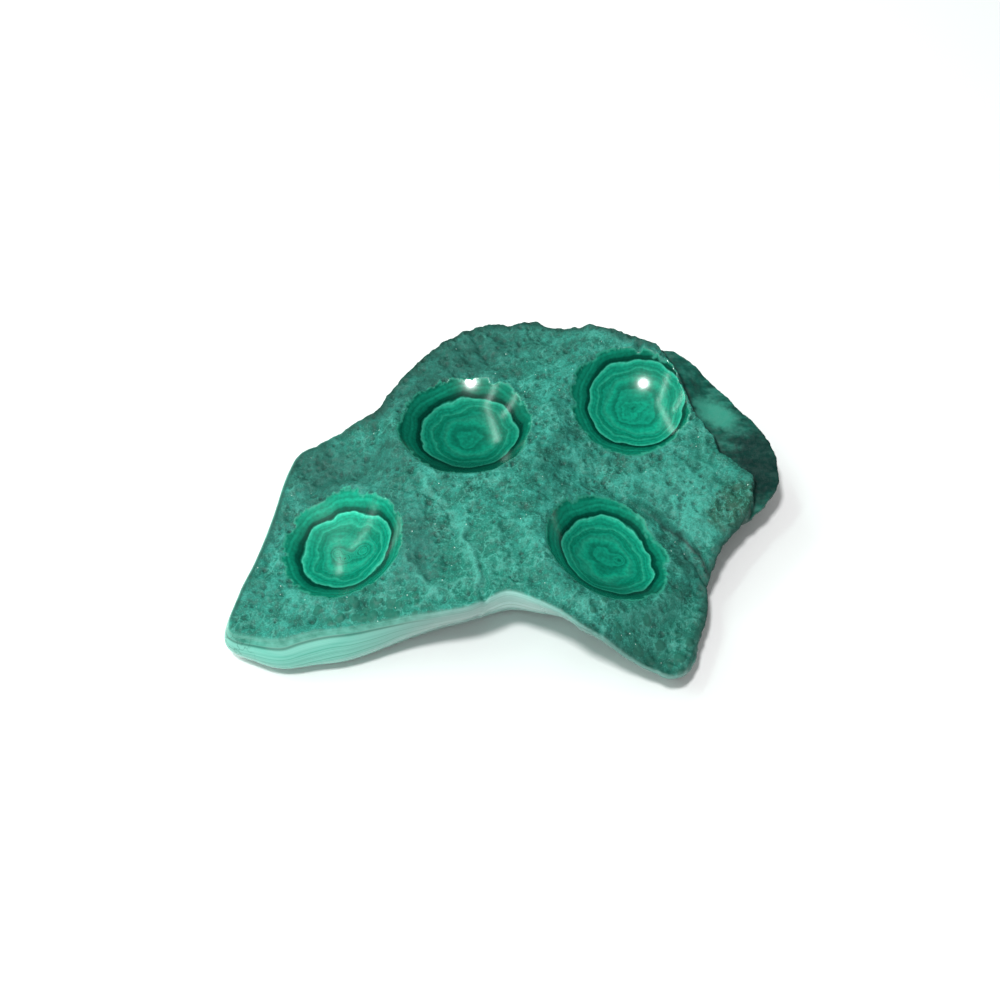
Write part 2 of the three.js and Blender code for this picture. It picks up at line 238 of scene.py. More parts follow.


# %% Bowls
# Each has the middle of its mouth, the crust's climb there along x and y, the mouth's radius and the depth.
# The dip says how the layers under it lean along x and y, and how much deeper they were reached. The tone
# says how bright its rings are beside the others', near and far by how much painted shade darkens them
# towards the front and painted light brightens them towards the back.
BOWLS = (
    dict(x=-53.4, y=-24.0, z=21.0, climb=(0.26, 0.0), mouth=20.7, depth=7.2,
         dip=(0.01, 0.0, 0.0), tone=1.05, near=0.25, far=0.65, under=None),
    dict(x=-14.6, y=19.5, z=26.8, climb=(0.01, -0.09), mouth=22.3, depth=7.6,
         dip=(0.05, -0.01, 0.1), tone=0.76, near=0.75, far=0.3, under=None),
    dict(x=40.6, y=30.4, z=26.0, climb=(-0.03, 0.23), mouth=20.4, depth=7.2,
         dip=(0.09, 0.03, 0.9), tone=1.06, near=0.2, far=0.0, under=None),
    dict(x=32.1, y=-27.0, z=23.0, climb=(-0.34, -0.14), mouth=21.8, depth=7.4,
         dip=(0.05, 0.0, 0.2), tone=1.04, near=0.62, far=0.2, under=UPPER_SHEET),
)
COLLAR = 1.35  # the crust keeps a bowl's slope out to this many mouths
BALL_REACH = 1.07  # the ball is not let cut further out than this many mouths
NO_BOWL = 1000.0
print("bowls:", len(BOWLS), "with mouths", [2 * bowl["mouth"] for bowl in BOWLS], "mm across")


def bowl_slope(bowl, x, y):
    return bowl["z"] + bowl["climb"][0] * (x - bowl["x"]) + bowl["climb"][1] * (y - bowl["y"])


def bowl_reach(bowl, x, y):
    """Distance from a bowl's middle, measured on its own slope."""
    dx, dy = x - bowl["x"], y - bowl["y"]
    return np.sqrt(dx**2 + dy**2 + (bowl["climb"][0] * dx + bowl["climb"][1] * dy) ** 2)


def bowl_ball(bowl):
    """Centre and radius of the ball that would grind this bowl."""
    radius = (bowl["mouth"] ** 2 + bowl["depth"] ** 2) / (2 * bowl["depth"])
    out = np.array([-bowl["climb"][0], -bowl["climb"][1], 1.0])
    out /= np.linalg.norm(out)
    return np.array([bowl["x"], bowl["y"], bowl["z"]]) + out * (radius - bowl["depth"]), radius


def bowl_floor(x, y):
    """Height of the grinding balls' undersides, or a very large height where there is no ball."""
    floor = np.full(np.shape(x), NO_BOWL)
    for bowl in BOWLS:
        (cx, cy, cz), radius = bowl_ball(bowl)
        under = radius**2 - (x - cx) ** 2 - (y - cy) ** 2
        near = bowl_reach(bowl, x, y) < BALL_REACH * bowl["mouth"]
        floor = np.where(near, cz - np.sqrt(np.maximum(under, 0)), floor)
    return floor


def layer_dip(x, y):
    """How much further down the layers are reached in each bowl than its depth alone says."""
    total = np.zeros(np.shape(x))
    for bowl in BOWLS:
        lean_x, lean_y, deeper = bowl["dip"]
        lean = lean_x * (x - bowl["x"]) + lean_y * (y - bowl["y"]) + deeper
        total += lean * (bowl_reach(bowl, x, y) < BALL_REACH * bowl["mouth"])
    return total


def bowl_tone_and_shade(x, y):
    """How bright the rings are at each place: each bowl's tone, with painted shade towards the front and
    painted light towards the back.
    """
    tone = np.ones(np.shape(x))
    for bowl in BOWLS:
        back = (y - bowl["y"]) / bowl["mouth"]
        # Painted shade on the near wall and painted light on the far wall of each bowl.
        lean = 1 - bowl["near"] * smoothstep(0.25, 0.85, -back) + bowl["far"] * smoothstep(0.3, 0.85, back)
        tone = np.where(bowl_reach(bowl, x, y) < BALL_REACH * bowl["mouth"], bowl["tone"] * lean, tone)
    return tone


def ground_height(x, y):
    """The swells, with the crust round each bowl brought to that bowl's slope."""
    height = swell_height(x, y)
    for bowl in BOWLS:
        reach = np.hypot(x - bowl["x"], y - bowl["y"]) / bowl["mouth"]
        below = step_down(bowl["under"], x, y) if bowl["under"] else 1.0
        share = below * (1 - smoothstep(1, COLLAR, reach))
        height = height + (bowl_slope(bowl, x, y) - height) * share
    return height


# %% Lumps and pits of the crust
LUMP_RISE = 0.45
PIT_GRID, PIT_SHARE, PIT_RADIUS, PIT_DEPTH = 7.4, 0.75, (2.1, 3.1), 0.95
print("pits are up to", 2 * PIT_RADIUS[1], "mm across and", PIT_DEPTH, "mm deep")


def lump_rise(x, y):
    across = np.sin(x / 3.9 + 1.7 * np.sin(y / 7.3))
    along = np.sin(y / 3.4 + 1.4 * np.sin(x / 6.1))
    return LUMP_RISE * across * along


def scatter(i, j, turn):
    """A fixed number from 0 to 1 for each square of the pit grid."""
    wave = np.sin(i * 12.9898 + j * 78.233 + turn * 37.719) * 43758.5453
    return wave - np.floor(wave)


def pit_drop(x, y):
    """At most one round pit to each square of a jittered grid."""
    column, row = np.floor(x / PIT_GRID), np.floor(y / PIT_GRID)
    drop = np.zeros(np.shape(x))
    for i, j in ((column + a, row + b) for a in (-1, 0, 1) for b in (-1, 0, 1)):
        px, py = ((i + scatter(i, j, 1)) * PIT_GRID, (j + scatter(i, j, 2)) * PIT_GRID)
        radius = PIT_RADIUS[0] + (PIT_RADIUS[1] - PIT_RADIUS[0]) * scatter(i, j, 3)
        reach = np.minimum(1, np.hypot(x - px, y - py) / radius)
        pit = np.where(scatter(i, j, 0) < PIT_SHARE, PIT_DEPTH * (1 - reach**2) ** 2, 0)
        drop = np.maximum(drop, pit)
    return drop


def skin_height(x, y):
    """The crust without its lumps and pits."""
    ledges = sum(ledge_drop(ledge, x, y) for ledge in LEDGES)
    creases = sum(crease_drop(crease, x, y) for crease in CREASES + RIDGES)
    return ground_height(x, y) - ledges - creases


def broken_share(x, y):
    """1 on the smooth face where a sheet has broken away, 0 on the crust."""
    return ledge_drop(BROKEN_SHEET, x, y) / BROKEN_SHEET["drop"]


# %% [markdown]
# ## The blank
# Next comes a plain stone to carve: points on the top, a wall of rings below the crest and a flat
# underside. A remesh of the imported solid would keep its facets, so the points are laid fresh where they
# are needed: an even honeycomb on the crust, circles round each bowl so that its rim and bands run true,
# and rows along the crest and the ledges. A Delaunay triangulation joins them all into one skin.

# %% Lay the points of the top
CRUST_GAP = 0.56
BOWL_GAP, RIM_GAP = 0.8, 0.42
RIM_INSIDE, RIM_OUTSIDE = 2.2, 1.8
CREST_ROWS = (0.18, 0.45, 0.85, 1.35)
LEDGE_ROWS = np.arange(-1.75, 1.8, 0.35)


def inside(points, ring):
    """Which points lie inside a closed ring, by counting the edges crossed on the way out."""
    (ax, ay), (bx, by) = ring.T, np.roll(ring, -1, axis=0).T
    found = []
    for part in np.array_split(points, max(1, len(points) // 3000)):
        x, y = part[:, :1], part[:, 1:]
        crossing = (ay > y) != (by > y)
        meets = ax + (y - ay) * (bx - ax) / np.where(by == ay, 1, by - ay)
        found.append((crossing & (x < meets)).sum(1) % 2 == 1)
    return np.concatenate(found)


def bowl_circles(bowl):
    """Circles on the bowl's slope, closer together at the rim, seen from above."""
    along = Vector((1, 0, bowl["climb"][0])).normalized()
    across = Vector((-bowl["climb"][0], -bowl["climb"][1], 1)).normalized().cross(along)
    rim = bowl["mouth"]
    wide = [(r, BOWL_GAP) for r in np.arange(BOWL_GAP, rim - RIM_INSIDE, BOWL_GAP)]
    close = [(r, RIM_GAP) for r in np.arange(rim - RIM_INSIDE, rim + RIM_OUTSIDE, RIM_GAP)]
    rings = []
    for turn, (r, gap) in enumerate(wide + close):
        number = max(6, round(2 * np.pi * r / gap))
        angle = (np.arange(number) + 0.5 * (turn % 2)) * 2 * np.pi / number
        rings.append(np.outer(np.cos(angle) * r, along[:2]) + np.outer(np.sin(angle) * r, across[:2]))
    return np.vstack(rings) + (bowl["x"], bowl["y"])


def ledge_rows(ledge):
    """Rows of points beside a ledge's line."""
    rows = []
    for a, b in zip(ledge["line"], ledge["line"][1:]):
        a, b = np.array(a), np.array(b)
        run = (b - a) / math.dist(a, b)
        steps = np.arange(0, math.dist(a, b), RIM_GAP)
        for off in LEDGE_ROWS:
            rows.append(a + np.outer(steps, run) + off * np.array([run[1], -run[0]]))
    return np.vstack(rows)


low, high = crest.min(0), crest.max(0)
columns_x = np.arange(low[0], high[0], CRUST_GAP)
rows_y = np.arange(low[1], high[1], CRUST_GAP * 3**0.5 / 2)
comb = np.array([(x + CRUST_GAP / 2 * (n % 2), y) for n, y in enumerate(rows_y) for x in columns_x])
bowl_edge = [bowl["mouth"] + RIM_OUTSIDE for bowl in BOWLS]
clear = np.ones(len(comb), bool)
for bowl, edge in zip(BOWLS, bowl_edge):
    clear &= bowl_reach(bowl, *comb.T) > edge
for ledge in LEDGES:
    clear &= place_by_line(ledge["line"], *comb.T)[0] > LEDGE_ROWS[-1] + 0.2
comb = comb[clear]

stepped = np.vstack([ledge_rows(ledge) for ledge in LEDGES])
for bowl, edge in zip(BOWLS, bowl_edge):
    stepped = stepped[bowl_reach(bowl, *stepped.T) > edge]
inner = np.vstack([comb, stepped] + [bowl_circles(bowl) for bowl in BOWLS])
inner = inner[inside(inner, crest)]

crest_tree = kdtree.KDTree(count)
for index, (x, y) in enumerate(crest):
    crest_tree.insert((x, y, 0), index)
crest_tree.balance()


def crest_distance(points):
    """How far each place is from the crest, and the number of the nearest crest point."""
    found = [crest_tree.find((x, y, 0)) for x, y in points]
    return np.array([f[2] for f in found]), np.array([f[1] for f in found])


inner = inner[crest_distance(inner)[0] > CREST_ROWS[-1] + 0.25]
edge_rows = np.vstack([crest - outward * row for row in CREST_ROWS])
row_depth = np.repeat(CREST_ROWS, count)
edge_rows = edge_rows[crest_distance(edge_rows)[0] > 0.8 * row_depth]
top_points = np.vstack([crest, edge_rows, inner])
print("points on the top:", len(top_points))


# %% Join the points of the top, and lay the underside
def skin_of(points, ring_length):
    """Triangles over points whose first ring_length make a closed ring, all facing up."""
    ring = [(i, (i + 1) % ring_length) for i in range(ring_length)]
    places, _, faces, origin, _, _ = delaunay_2d_cdt([Vector(p) for p in points], ring, [], 1, 1e-7)
    number = np.array([o[0] for o in origin])
    faces = number[np.array([f for f in faces if len(f) == 3])]
    a, b, c = (points[faces[:, k]] for k in range(3))
    turn = (b[:, 0] - a[:, 0]) * (c[:, 1] - a[:, 1]) - (b[:, 1] - a[:, 1]) * (c[:, 0] - a[:, 0])
    faces[turn < 0] = faces[turn < 0][:, ::-1]
    return faces[np.abs(turn) > 1e-9]


WALL_LEVELS = 26
DRAW_IN_POWER = 1.3
FOOT_GAP = 5.0
ROUND_OVER = (0.5, 1.5)  # radius of the turn from crust to side, on raw and on polished sides

top_faces = skin_of(top_points, count)
foot = crest - outward * draw_in[:, None]
foot_low, foot_high = foot.min(0), foot.max(0)
foot_grid = np.array([(x, y) for x in np.arange(foot_low[0], foot_high[0], FOOT_GAP)
                      for y in np.arange(foot_low[1], foot_high[1], FOOT_GAP)])
foot_tree = kdtree.KDTree(count)
for index, (x, y) in enumerate(foot):
    foot_tree.insert((x, y, 0), index)
foot_tree.balance()
foot_grid = foot_grid[inside(foot_grid, foot)]
foot_grid = foot_grid[[foot_tree.find((x, y, 0))[2] > 1.5 for x, y in foot_grid]]
foot_points = np.vstack([foot, foot_grid])
foot_faces = skin_of(foot_points, count)[:, ::-1]
print("top triangles:", len(top_faces), "underside triangles:", len(foot_faces))

# %% Heights of the top, and the wall below the crest
tx, ty = top_points.T
to_crest, nearest = crest_distance(top_points)
turn_radius = ROUND_OVER[0] + (ROUND_OVER[1] - ROUND_OVER[0]) * side_polish[nearest]
short = np.maximum(turn_radius - to_crest, 0)
round_drop = turn_radius - np.sqrt(turn_radius**2 - np.minimum(short, turn_radius) ** 2)
crusted = 1 - broken_share(tx, ty)
calm = 1 - side_polish[nearest] * (1 - smoothstep(0.5, 4, to_crest))  # a polished side has an even top edge
skin = skin_height(tx, ty)
top_z = skin + crusted * calm * (lump_rise(tx, ty) - pit_drop(tx, ty)) - round_drop

levels = (np.arange(1, WALL_LEVELS + 1) / WALL_LEVELS) ** 1.25
wall = []
for t in levels:
    out = swelling * np.sin(np.pi * t) - draw_in * t**DRAW_IN_POWER
    wall.append(np.column_stack([crest + outward * out[:, None], top_z[:count] * (1 - t)]))
wall = np.vstack(wall)

top = np.column_stack([top_points, top_z])
foot_inner = np.column_stack([foot_grid, np.zeros(len(foot_grid))])
vertices = np.vstack([top, wall, foot_inner])

ring_start = [0] + [len(top) + level * count for level in range(WALL_LEVELS)]
here, after = np.arange(count), (np.arange(count) + 1) % count
wall_faces = np.vstack([
    np.column_stack([upper + here, lower + here, lower + after, upper + after])
    for upper, lower in zip(ring_start, ring_start[1:])
])
to_vertex = np.append(ring_start[-1] + here, len(top) + len(wall) + np.arange(len(foot_grid)))
faces = top_faces.tolist() + wall_faces.tolist() + to_vertex[foot_faces].tolist()

blank_mesh = bpy.data.meshes.new("malachite_blank")
blank_mesh.from_pydata((vertices * MM).tolist(), [], faces)
blank_mesh.update()
print("blank:", len(vertices), "points,", len(top_faces) + 2 * len(wall_faces) + len(foot_faces), "triangles")

# %% [markdown]
# ## What the blank carries
# A named attribute is a number kept at every point of a mesh. The carving and the finish both need to know
# which part of the stone a point belongs to, so the blank carries that: how crusted it is, where the skin
# of the stone ran before anything was ground away, where the grinding balls pass, and soft patches where
# the stone is darker, browner or paler, with painted shade in the darker ones at the left, the back and
# the creases, and painted light in the paler ones on the plate, the front lobe and the front-left edge.
# Painting weights by hand would do the same for one stone.

# %% Soft patches on the crust: x, y, reach, strength
# Darker patches: partly darker stone, partly painted shade at the left, the back, the creases and the right
# end.
DARK_AND_SHADE_PATCHES = (
    (-30, -24, 7, 0.8), (-27, -38, 6, 0.6), (54, -20, 4, 0.8), (59, -28, 4, 0.8), (46, -63, 8, 0.5),
    (85, 6, 6, 1.1), (82, 17, 6, 0.8), (48, -6, 5, 0.5), (-44, 29, 4, 0.8), (-66, 14, 9, 0.5),
    (-20, 55, 9, 0.5), (0, 61, 10, 0.6), (-80, -40, 6, 0.5), (-58, 3, 11, 0.8), (-38, 8, 8, 0.6),
    (-12, 46, 11, 0.6), (-31, 36, 8, 0.8), (22, 56, 9, 0.5), (-76, -14, 7, 0.5), (-35, -10, 6, 0.5),
)
OLIVE_PATCHES = (
    (74, -6, 4.5, 1.0), (70, -11, 4, 0.8), (77, -4, 3.5, 0.8),
)
GREEN_PATCHES = (
    (-17, -34, 6, 1.0), (-6, -24, 5, 0.9), (-14, -44, 6, 0.8), (3, -6, 7, 0.6), (20, -46, 8, 0.5),
    (-45, -50, 9, 0.7), (52, -45, 9, 0.6), (10, 45, 9, 0.5), (66, 10, 6, 0.6), (46, -55, 11, 1.0),
    (0, -42, 8, 0.9), (62, 20, 5, 0.7), (-34, -48, 7, 0.7),
)
# Paler patches: partly dusty crust, partly painted light on the plate, the front lobe and the front-left
# edge.
DUSTY_AND_LIT_PATCHES = (
    (58, -3, 11, 1.0), (46, -48, 7, 0.5), (-64, -44, 9, 0.6), (-22, -4, 9, 0.4), (2, -38, 6, 0.5),
    (60, -15, 6, 0.6),
)
PALE_PATCHES = (
    (67, 31, 4.5, 1.0), (73, 27, 4, 0.9),
)
NODULE_PATCHES = (
    (-40, -50, 4.5, 1.0), (-51, -51, 5, 0.7), (-34, -50, 4, 0.8), (30, -58, 7, 0.5), (48, -62, 7, 0.5),
)
WORN_PATCHES = (
    (-64, -10, 8, 1.0), (-52, -6, 7, 0.6),
)
EYES = (
    (-55.3, -22.9, 1.2, 2.2), (-52.6, -25.4, 1.0, 1.9), (-46.6, -23.2, 1.7, 2.3), (35.6, -26.0, 1.8, 1.6),
    (38.5, 29.0, 2.4, 0.2), (45.0, 33.0, 1.8, 0.2),
)
print("dark patches:", len(DARK_AND_SHADE_PATCHES), "eyes in the bowls:", len(EYES))


def patch_sum(patches, x, y):
    return sum(s * np.exp(-((x - px) ** 2 + (y - py) ** 2) / (2 * reach**2)) for px, py, reach, s in patches)


# %% Keep the attributes on the blank
wall_count = len(wall)
foot_count = len(foot_inner)
t_wall = np.repeat(levels, count)
vx, vy = vertices[:, 0], vertices[:, 1]


def for_parts(on_top, on_wall, on_foot):
    """One array over the whole blank from what each part carries."""
    spread_foot = np.broadcast_to(on_foot, foot_count)
    return np.concatenate([on_top, np.broadcast_to(on_wall, wall_count), spread_foot]).astype(np.float32)


# Where the finish paints shade: along the left crest, along the raw crest and down the raw sides.
left_crest_shade = (1 - smoothstep(1.0, 2.6, to_crest)) * smoothstep(-58, -66, tx) * smoothstep(-51, -47, ty)
raw_edge_shade = (1 - smoothstep(0, 4.5, to_crest)) * (1 - side_polish[nearest])
raw_wall = np.tile(1 - side_polish, WALL_LEVELS) * (1 - t_wall**6)
carried = {
    "crusted": for_parts(crusted * calm * smoothstep(0, 1.2, to_crest + 0.4), 0, 0),
    "broken": for_parts(1 - crusted, 0, 0),
    "skin": for_parts(skin, np.tile(skin[:count], WALL_LEVELS), skin_height(*foot_grid.T)),
    "bowl_floor": for_parts(bowl_floor(tx, ty), NO_BOWL, NO_BOWL),
    "side": for_parts(1 - smoothstep(0.2, 1.1, to_crest), 1, 0) * for_parts(
        side_polish[nearest], np.tile(side_polish, WALL_LEVELS), 0),
    "raw_side": for_parts(np.zeros(len(top)), raw_wall, 0),
    "sawn": for_parts(np.zeros(len(top)), smoothstep(0.985, 1, t_wall), 1),
    # dark: darker stone together with painted shade
    "dark": patch_sum(DARK_AND_SHADE_PATCHES, vx, vy).astype(np.float32),
    "olive": patch_sum(OLIVE_PATCHES, vx, vy).astype(np.float32),
    "green": patch_sum(GREEN_PATCHES, vx, vy).astype(np.float32),
    # dusty: paler dusty crust together with painted light
    "dusty": patch_sum(DUSTY_AND_LIT_PATCHES, vx, vy).astype(np.float32),
    "pale": patch_sum(PALE_PATCHES, vx, vy).astype(np.float32),
    "nodules": patch_sum(NODULE_PATCHES, vx, vy).astype(np.float32),
    # edge: painted shade along the raw crest, the raw sides and the left crest
    "edge": for_parts(np.maximum(raw_edge_shade, 0.8 * left_crest_shade), raw_wall, 0),
    # foot: where the finish paints a shadow at the foot of the upper and broken sheets
    "foot": for_parts(sum(ledge_foot_shadow(ledge, tx, ty) for ledge in (UPPER_SHEET, BROKEN_SHEET)), 0, 0),
    # tone: each bowl's tone, with painted shade at the front and painted light at the back
    "tone": bowl_tone_and_shade(vx, vy).astype(np.float32),
    "worn": patch_sum(WORN_PATCHES, vx, vy).astype(np.float32),
    # ridge: how high the ridges stand; the finish paints a highlight along them
    "ridge": sum(crease_drop(ridge, vx, vy) for ridge in RIDGES).astype(np.float32) * -1,
    "growth": (patch_sum(EYES, vx, vy) + layer_dip(vx, vy)).astype(np.float32),
}
for name, values in carried.items():
    blank_mesh.attributes.new(name, "FLOAT", "POINT").data.foreach_set("value", values)
print("attributes:", ", ".join(carried))

# %% [markdown]
# ## Growing the crust and grinding the bowls
# The fine relief follows a rule, so Geometry Nodes make it: small pits with raised lips from a Voronoi
# pattern, nodules near the edges, and grain from noise, all pushed straight up or down. Then the balls
# pass over: wherever a ball hangs lower than the crust, the point drops onto the ball. Because grinding
# comes after growing, each rim is as ragged as the crust it cuts. The tree also keeps how deep every
# point now lies below the old skin, since the bands of malachite follow that depth.


# %% Helpers that wire up nodes, for carving and for finishes alike
def make(tree, kind, inputs=(), **settings):
    """Add a node, set its options and fill its inputs with values or with other nodes' outputs."""
    node = tree.nodes.new(kind)
    for name, value in settings.items():
        setattr(node, name, value)
    for name, value in dict(inputs).items():
        if isinstance(value, bpy.types.NodeSocket):
            tree.links.new(value, node.inputs[name])
        else:
            node.inputs[name].default_value = value
    return node


def calc(tree, operation, *values):
    return make(tree, "ShaderNodeMath", dict(enumerate(values)), operation=operation).outputs[0]


def ease(tree, value, low, high, to_low=0.0, to_high=1.0):
    """Carry a value smoothly from one range to another."""
    spans = dict(enumerate((value, low, high, to_low, to_high)))
    return make(tree, "ShaderNodeMapRange", spans, interpolation_type="SMOOTHSTEP").outputs[0]


def cloud(tree, place, size, detail=2.0, roughness=0.5):
    """Noise from about 0.3 to 0.7 whose blobs are about the given size."""
    scale = calc(tree, "DIVIDE", 1.0, size)
    inputs = {"Vector": place, "Scale": scale, "Detail": detail, "Roughness": roughness}
    return make(tree, "ShaderNodeTexNoise", inputs).outputs[0]


def about_zero(tree, noise, height):
    """Centre a noise on zero and give it a height."""
    return calc(tree, "MULTIPLY", calc(tree, "SUBTRACT", noise, 0.5), height)


def shifted(tree, place, shift):
    return make(tree, "ShaderNodeVectorMath", {0: place, 1: shift}, operation="ADD").outputs[0]


# %% The tree's named inputs
relief = bpy.data.node_groups.new("malachite_relief", "GeometryNodeTree")
relief.interface.new_socket("Geometry", in_out="INPUT", socket_type="NodeSocketGeometry")
relief.interface.new_socket("Geometry", in_out="OUTPUT", socket_type="NodeSocketGeometry")
RELIEF_SIZES = {
    "Pit spacing": 2.7, "Pit depth": 0.6, "Lip rise": 0.24, "Dimple spacing": 1.6, "Dimple depth": 0.26,
    "Nodule spacing": 3.4, "Nodule rise": 0.6, "Swell size": 7.0, "Swell rise": 2.0, "Grain size": 0.9,
    "Grain rise": 0.14, "Side roughness": 1.4, "Rim softness": 0.26, "Seed": 4.0,
}
RELIEF_IDS = {
    name: relief.interface.new_socket(name, in_out="INPUT", socket_type="NodeSocketFloat").identifier
    for name in RELIEF_SIZES
}
given = relief.nodes.new("NodeGroupInput").outputs


def carries(name):
    named = make(relief, "GeometryNodeInputNamedAttribute", {"Name": name}, data_type="FLOAT")
    return named.outputs["Attribute"]


position = make(relief, "GeometryNodeInputPosition").outputs[0]
place_mm = make(relief, "ShaderNodeVectorMath", {0: position, "Scale": 1 / MM}, operation="SCALE").outputs[0]
seed_turn = make(relief, "ShaderNodeVectorMath", {0: (7.31, 3.17, 0.0), "Scale": given["Seed"]},
                 operation="SCALE").outputs[0]
seeded = make(relief, "ShaderNodeVectorMath", {0: place_mm, 1: seed_turn}, operation="ADD").outputs[0]
bend_noise = make(relief, "ShaderNodeTexNoise", {"Vector": seeded, "Scale": 0.45, "Detail": 1.0})
bend = make(relief, "ShaderNodeVectorMath", {0: bend_noise.outputs["Color"], 1: (0.5, 0.5, 0.5)},
            operation="SUBTRACT").outputs[0]
bent = make(relief, "ShaderNodeVectorMath", {0: bend, 1: (2.2, 2.2, 0.0), 2: seeded},
            operation="MULTIPLY_ADD").outputs[0]
print("relief inputs:", ", ".join(RELIEF_IDS))


# %% Pits, dimples, nodules and grain
def cells(place, spacing):
    """Distance from the middle of each Voronoi cell, in cells, and three random numbers for the cell."""
    scale = calc(relief, "DIVIDE", 1.0, spacing)
    inputs = {"Vector": place, "Scale": scale, "Randomness": 0.9}
    voronoi = make(relief, "ShaderNodeTexVoronoi", inputs, voronoi_dimensions="2D", feature="F1")
    chance = make(relief, "ShaderNodeSeparateXYZ", {0: voronoi.outputs["Color"]}).outputs
    return voronoi.outputs["Distance"], chance


def hollows(place, spacing, share, depth, lip):
    """Round hollows in a share of the cells, each with a raised lip."""
    distance, chance = cells(place, spacing)
    radius = ease(relief, chance[1], 0.0, 1.0, 0.28, 0.56)
    reach = calc(relief, "DIVIDE", distance, radius)
    present = calc(relief, "LESS_THAN", chance[0], share)
    deep = calc(relief, "MULTIPLY", depth, ease(relief, chance[2], 0.0, 1.0, 0.45, 1.0))
    drop = calc(relief, "MULTIPLY", ease(relief, reach, 0.25, 1.0, 1.0, 0.0), deep)
    ring = calc(relief, "MULTIPLY", ease(relief, reach, 0.75, 1.15), ease(relief, reach, 1.15, 1.8, 1.0, 0.0))
    rise = calc(relief, "SUBTRACT", calc(relief, "MULTIPLY", ring, lip), drop)
    return calc(relief, "MULTIPLY", rise, present)


def bumps(place, spacing, rise, where):
    """Round nodules where the blank says that they grow."""
    distance, chance = cells(place, spacing)
    reach = calc(relief, "DIVIDE", distance, ease(relief, chance[1], 0.0, 1.0, 0.35, 0.6))
    dome = calc(relief, "SQRT", calc(relief, "MAXIMUM", calc(relief, "SUBTRACT", 1.0,
                calc(relief, "MULTIPLY", reach, reach)), 0.0))
    grown = calc(relief, "LESS_THAN", chance[0], where)
    return calc(relief, "MULTIPLY", calc(relief, "MULTIPLY", dome, rise), grown)


nodules = bumps(seeded, given["Nodule spacing"], given["Nodule rise"], carries("nodules"))
terms = [
    hollows(bent, given["Pit spacing"], 0.62, given["Pit depth"], given["Lip rise"]),
    hollows(shifted(relief, bent, (31.0, 17.0, 0.0)), given["Dimple spacing"], 0.5, given["Dimple depth"],
            0.05),
    nodules,
    about_zero(relief, cloud(relief, seeded, given["Swell size"]), given["Swell rise"]),
    about_zero(relief, cloud(relief, seeded, given["Grain size"], 3.0), given["Grain rise"]),
]
grown = terms[0]
for term in terms[1:]:
    grown = calc(relief, "ADD", grown, term)
grown = calc(relief, "MULTIPLY", grown, carries("crusted"))

# %% Grind the bowls, roughen the raw sides and keep what the finish needs
height_mm = make(relief, "ShaderNodeSeparateXYZ", {0: place_mm}).outputs["Z"]
crust_z = calc(relief, "ADD", height_mm, grown)
ground_z = calc(relief, "SMOOTH_MIN", crust_z, carries("bowl_floor"), given["Rim softness"])
ground_off = calc(relief, "SUBTRACT", crust_z, carries("bowl_floor"))
polished = ease(relief, ground_off, -0.05, 0.2)
# The rim mask: a thin band at each bowl's lip, where the finish paints a highlight.
rim = calc(relief, "MULTIPLY", polished, ease(relief, ground_off, 0.3, 0.75, 1.0, 0.0))
depth_below_skin = calc(relief, "SUBTRACT", carries("skin"), ground_z)
lift = make(relief, "ShaderNodeCombineXYZ", {"Z": calc(relief, "MULTIPLY",
            calc(relief, "SUBTRACT", ground_z, height_mm), MM)}).outputs[0]

stone = given["Geometry"]
# The finish reads relief to paint shade in the hollows and highlights on the rises.
keep = {"relief": grown, "polish": polished, "layer": depth_below_skin, "rim": rim, "nodule": nodules}
for name, value in keep.items():
    inputs = {"Geometry": stone, "Name": name, "Value": value}
    stored = make(relief, "GeometryNodeStoreNamedAttribute", inputs, data_type="FLOAT", domain="POINT")
    stone = stored.outputs[0]
stone = make(relief, "GeometryNodeSetPosition", {"Geometry": stone, "Offset": lift}).outputs[0]

coarse = about_zero(relief, cloud(relief, seeded, 4.5, 3.0), given["Side roughness"])
rough_height = calc(relief, "ADD", coarse, about_zero(relief, cloud(relief, seeded, 1.2, 2.0), 0.25))
rough_height = calc(relief, "MULTIPLY", calc(relief, "MULTIPLY", rough_height, carries("raw_side")), MM)
normal = make(relief, "GeometryNodeInputNormal").outputs[0]
push = make(relief, "ShaderNodeVectorMath", {0: normal, "Scale": rough_height}, operation="SCALE").outputs[0]
stone = make(relief, "GeometryNodeSetPosition", {"Geometry": stone, "Offset": push}).outputs[0]
stone = make(relief, "GeometryNodeRealizeInstances", {"Geometry": stone}).outputs[0]
print("relief:", len(relief.nodes), "nodes")

# %% [markdown]
# ## The finish
# Malachite grows in layers, light and dark by turns. On the untouched crust you see only one dusty layer;
# the finish paints shade down in its pits and highlights on its lips and ridges. Where the stone is ground,
# the cut runs through layer after layer, and each shows as a ring. So one material can do it all: a colour
# ramp over the depth below the old skin paints the rings, noise makes them waver, and the masks kept on the
# mesh choose between crust, ring and side.

# %% Start the material
malachite = bpy.data.materials.new("malachite")
malachite.use_nodes = True
finish = malachite.node_tree
finish.nodes.clear()


def paint(red, green, blue):
    """A colour as a paint chart gives it, from 0 to 255, in the linear values that a shader takes."""
    channels = [c / 255 for c in (red, green, blue)]
    return (*(c / 12.92 if c <= 0.04045 else ((c + 0.055) / 1.055) ** 2.4 for c in channels), 1.0)


def blend(share, under, over):
    node = make(finish, "ShaderNodeMix", {0: share, 6: under, 7: over}, data_type="RGBA")
    return node.outputs[2]


def toned(colour, amount):
    """Darken or brighten a colour."""
    colour = colour if isinstance(colour, bpy.types.NodeSocket) else colour[:3]
    return make(finish, "ShaderNodeVectorMath", {0: colour, "Scale": amount}, operation="SCALE").outputs[0]


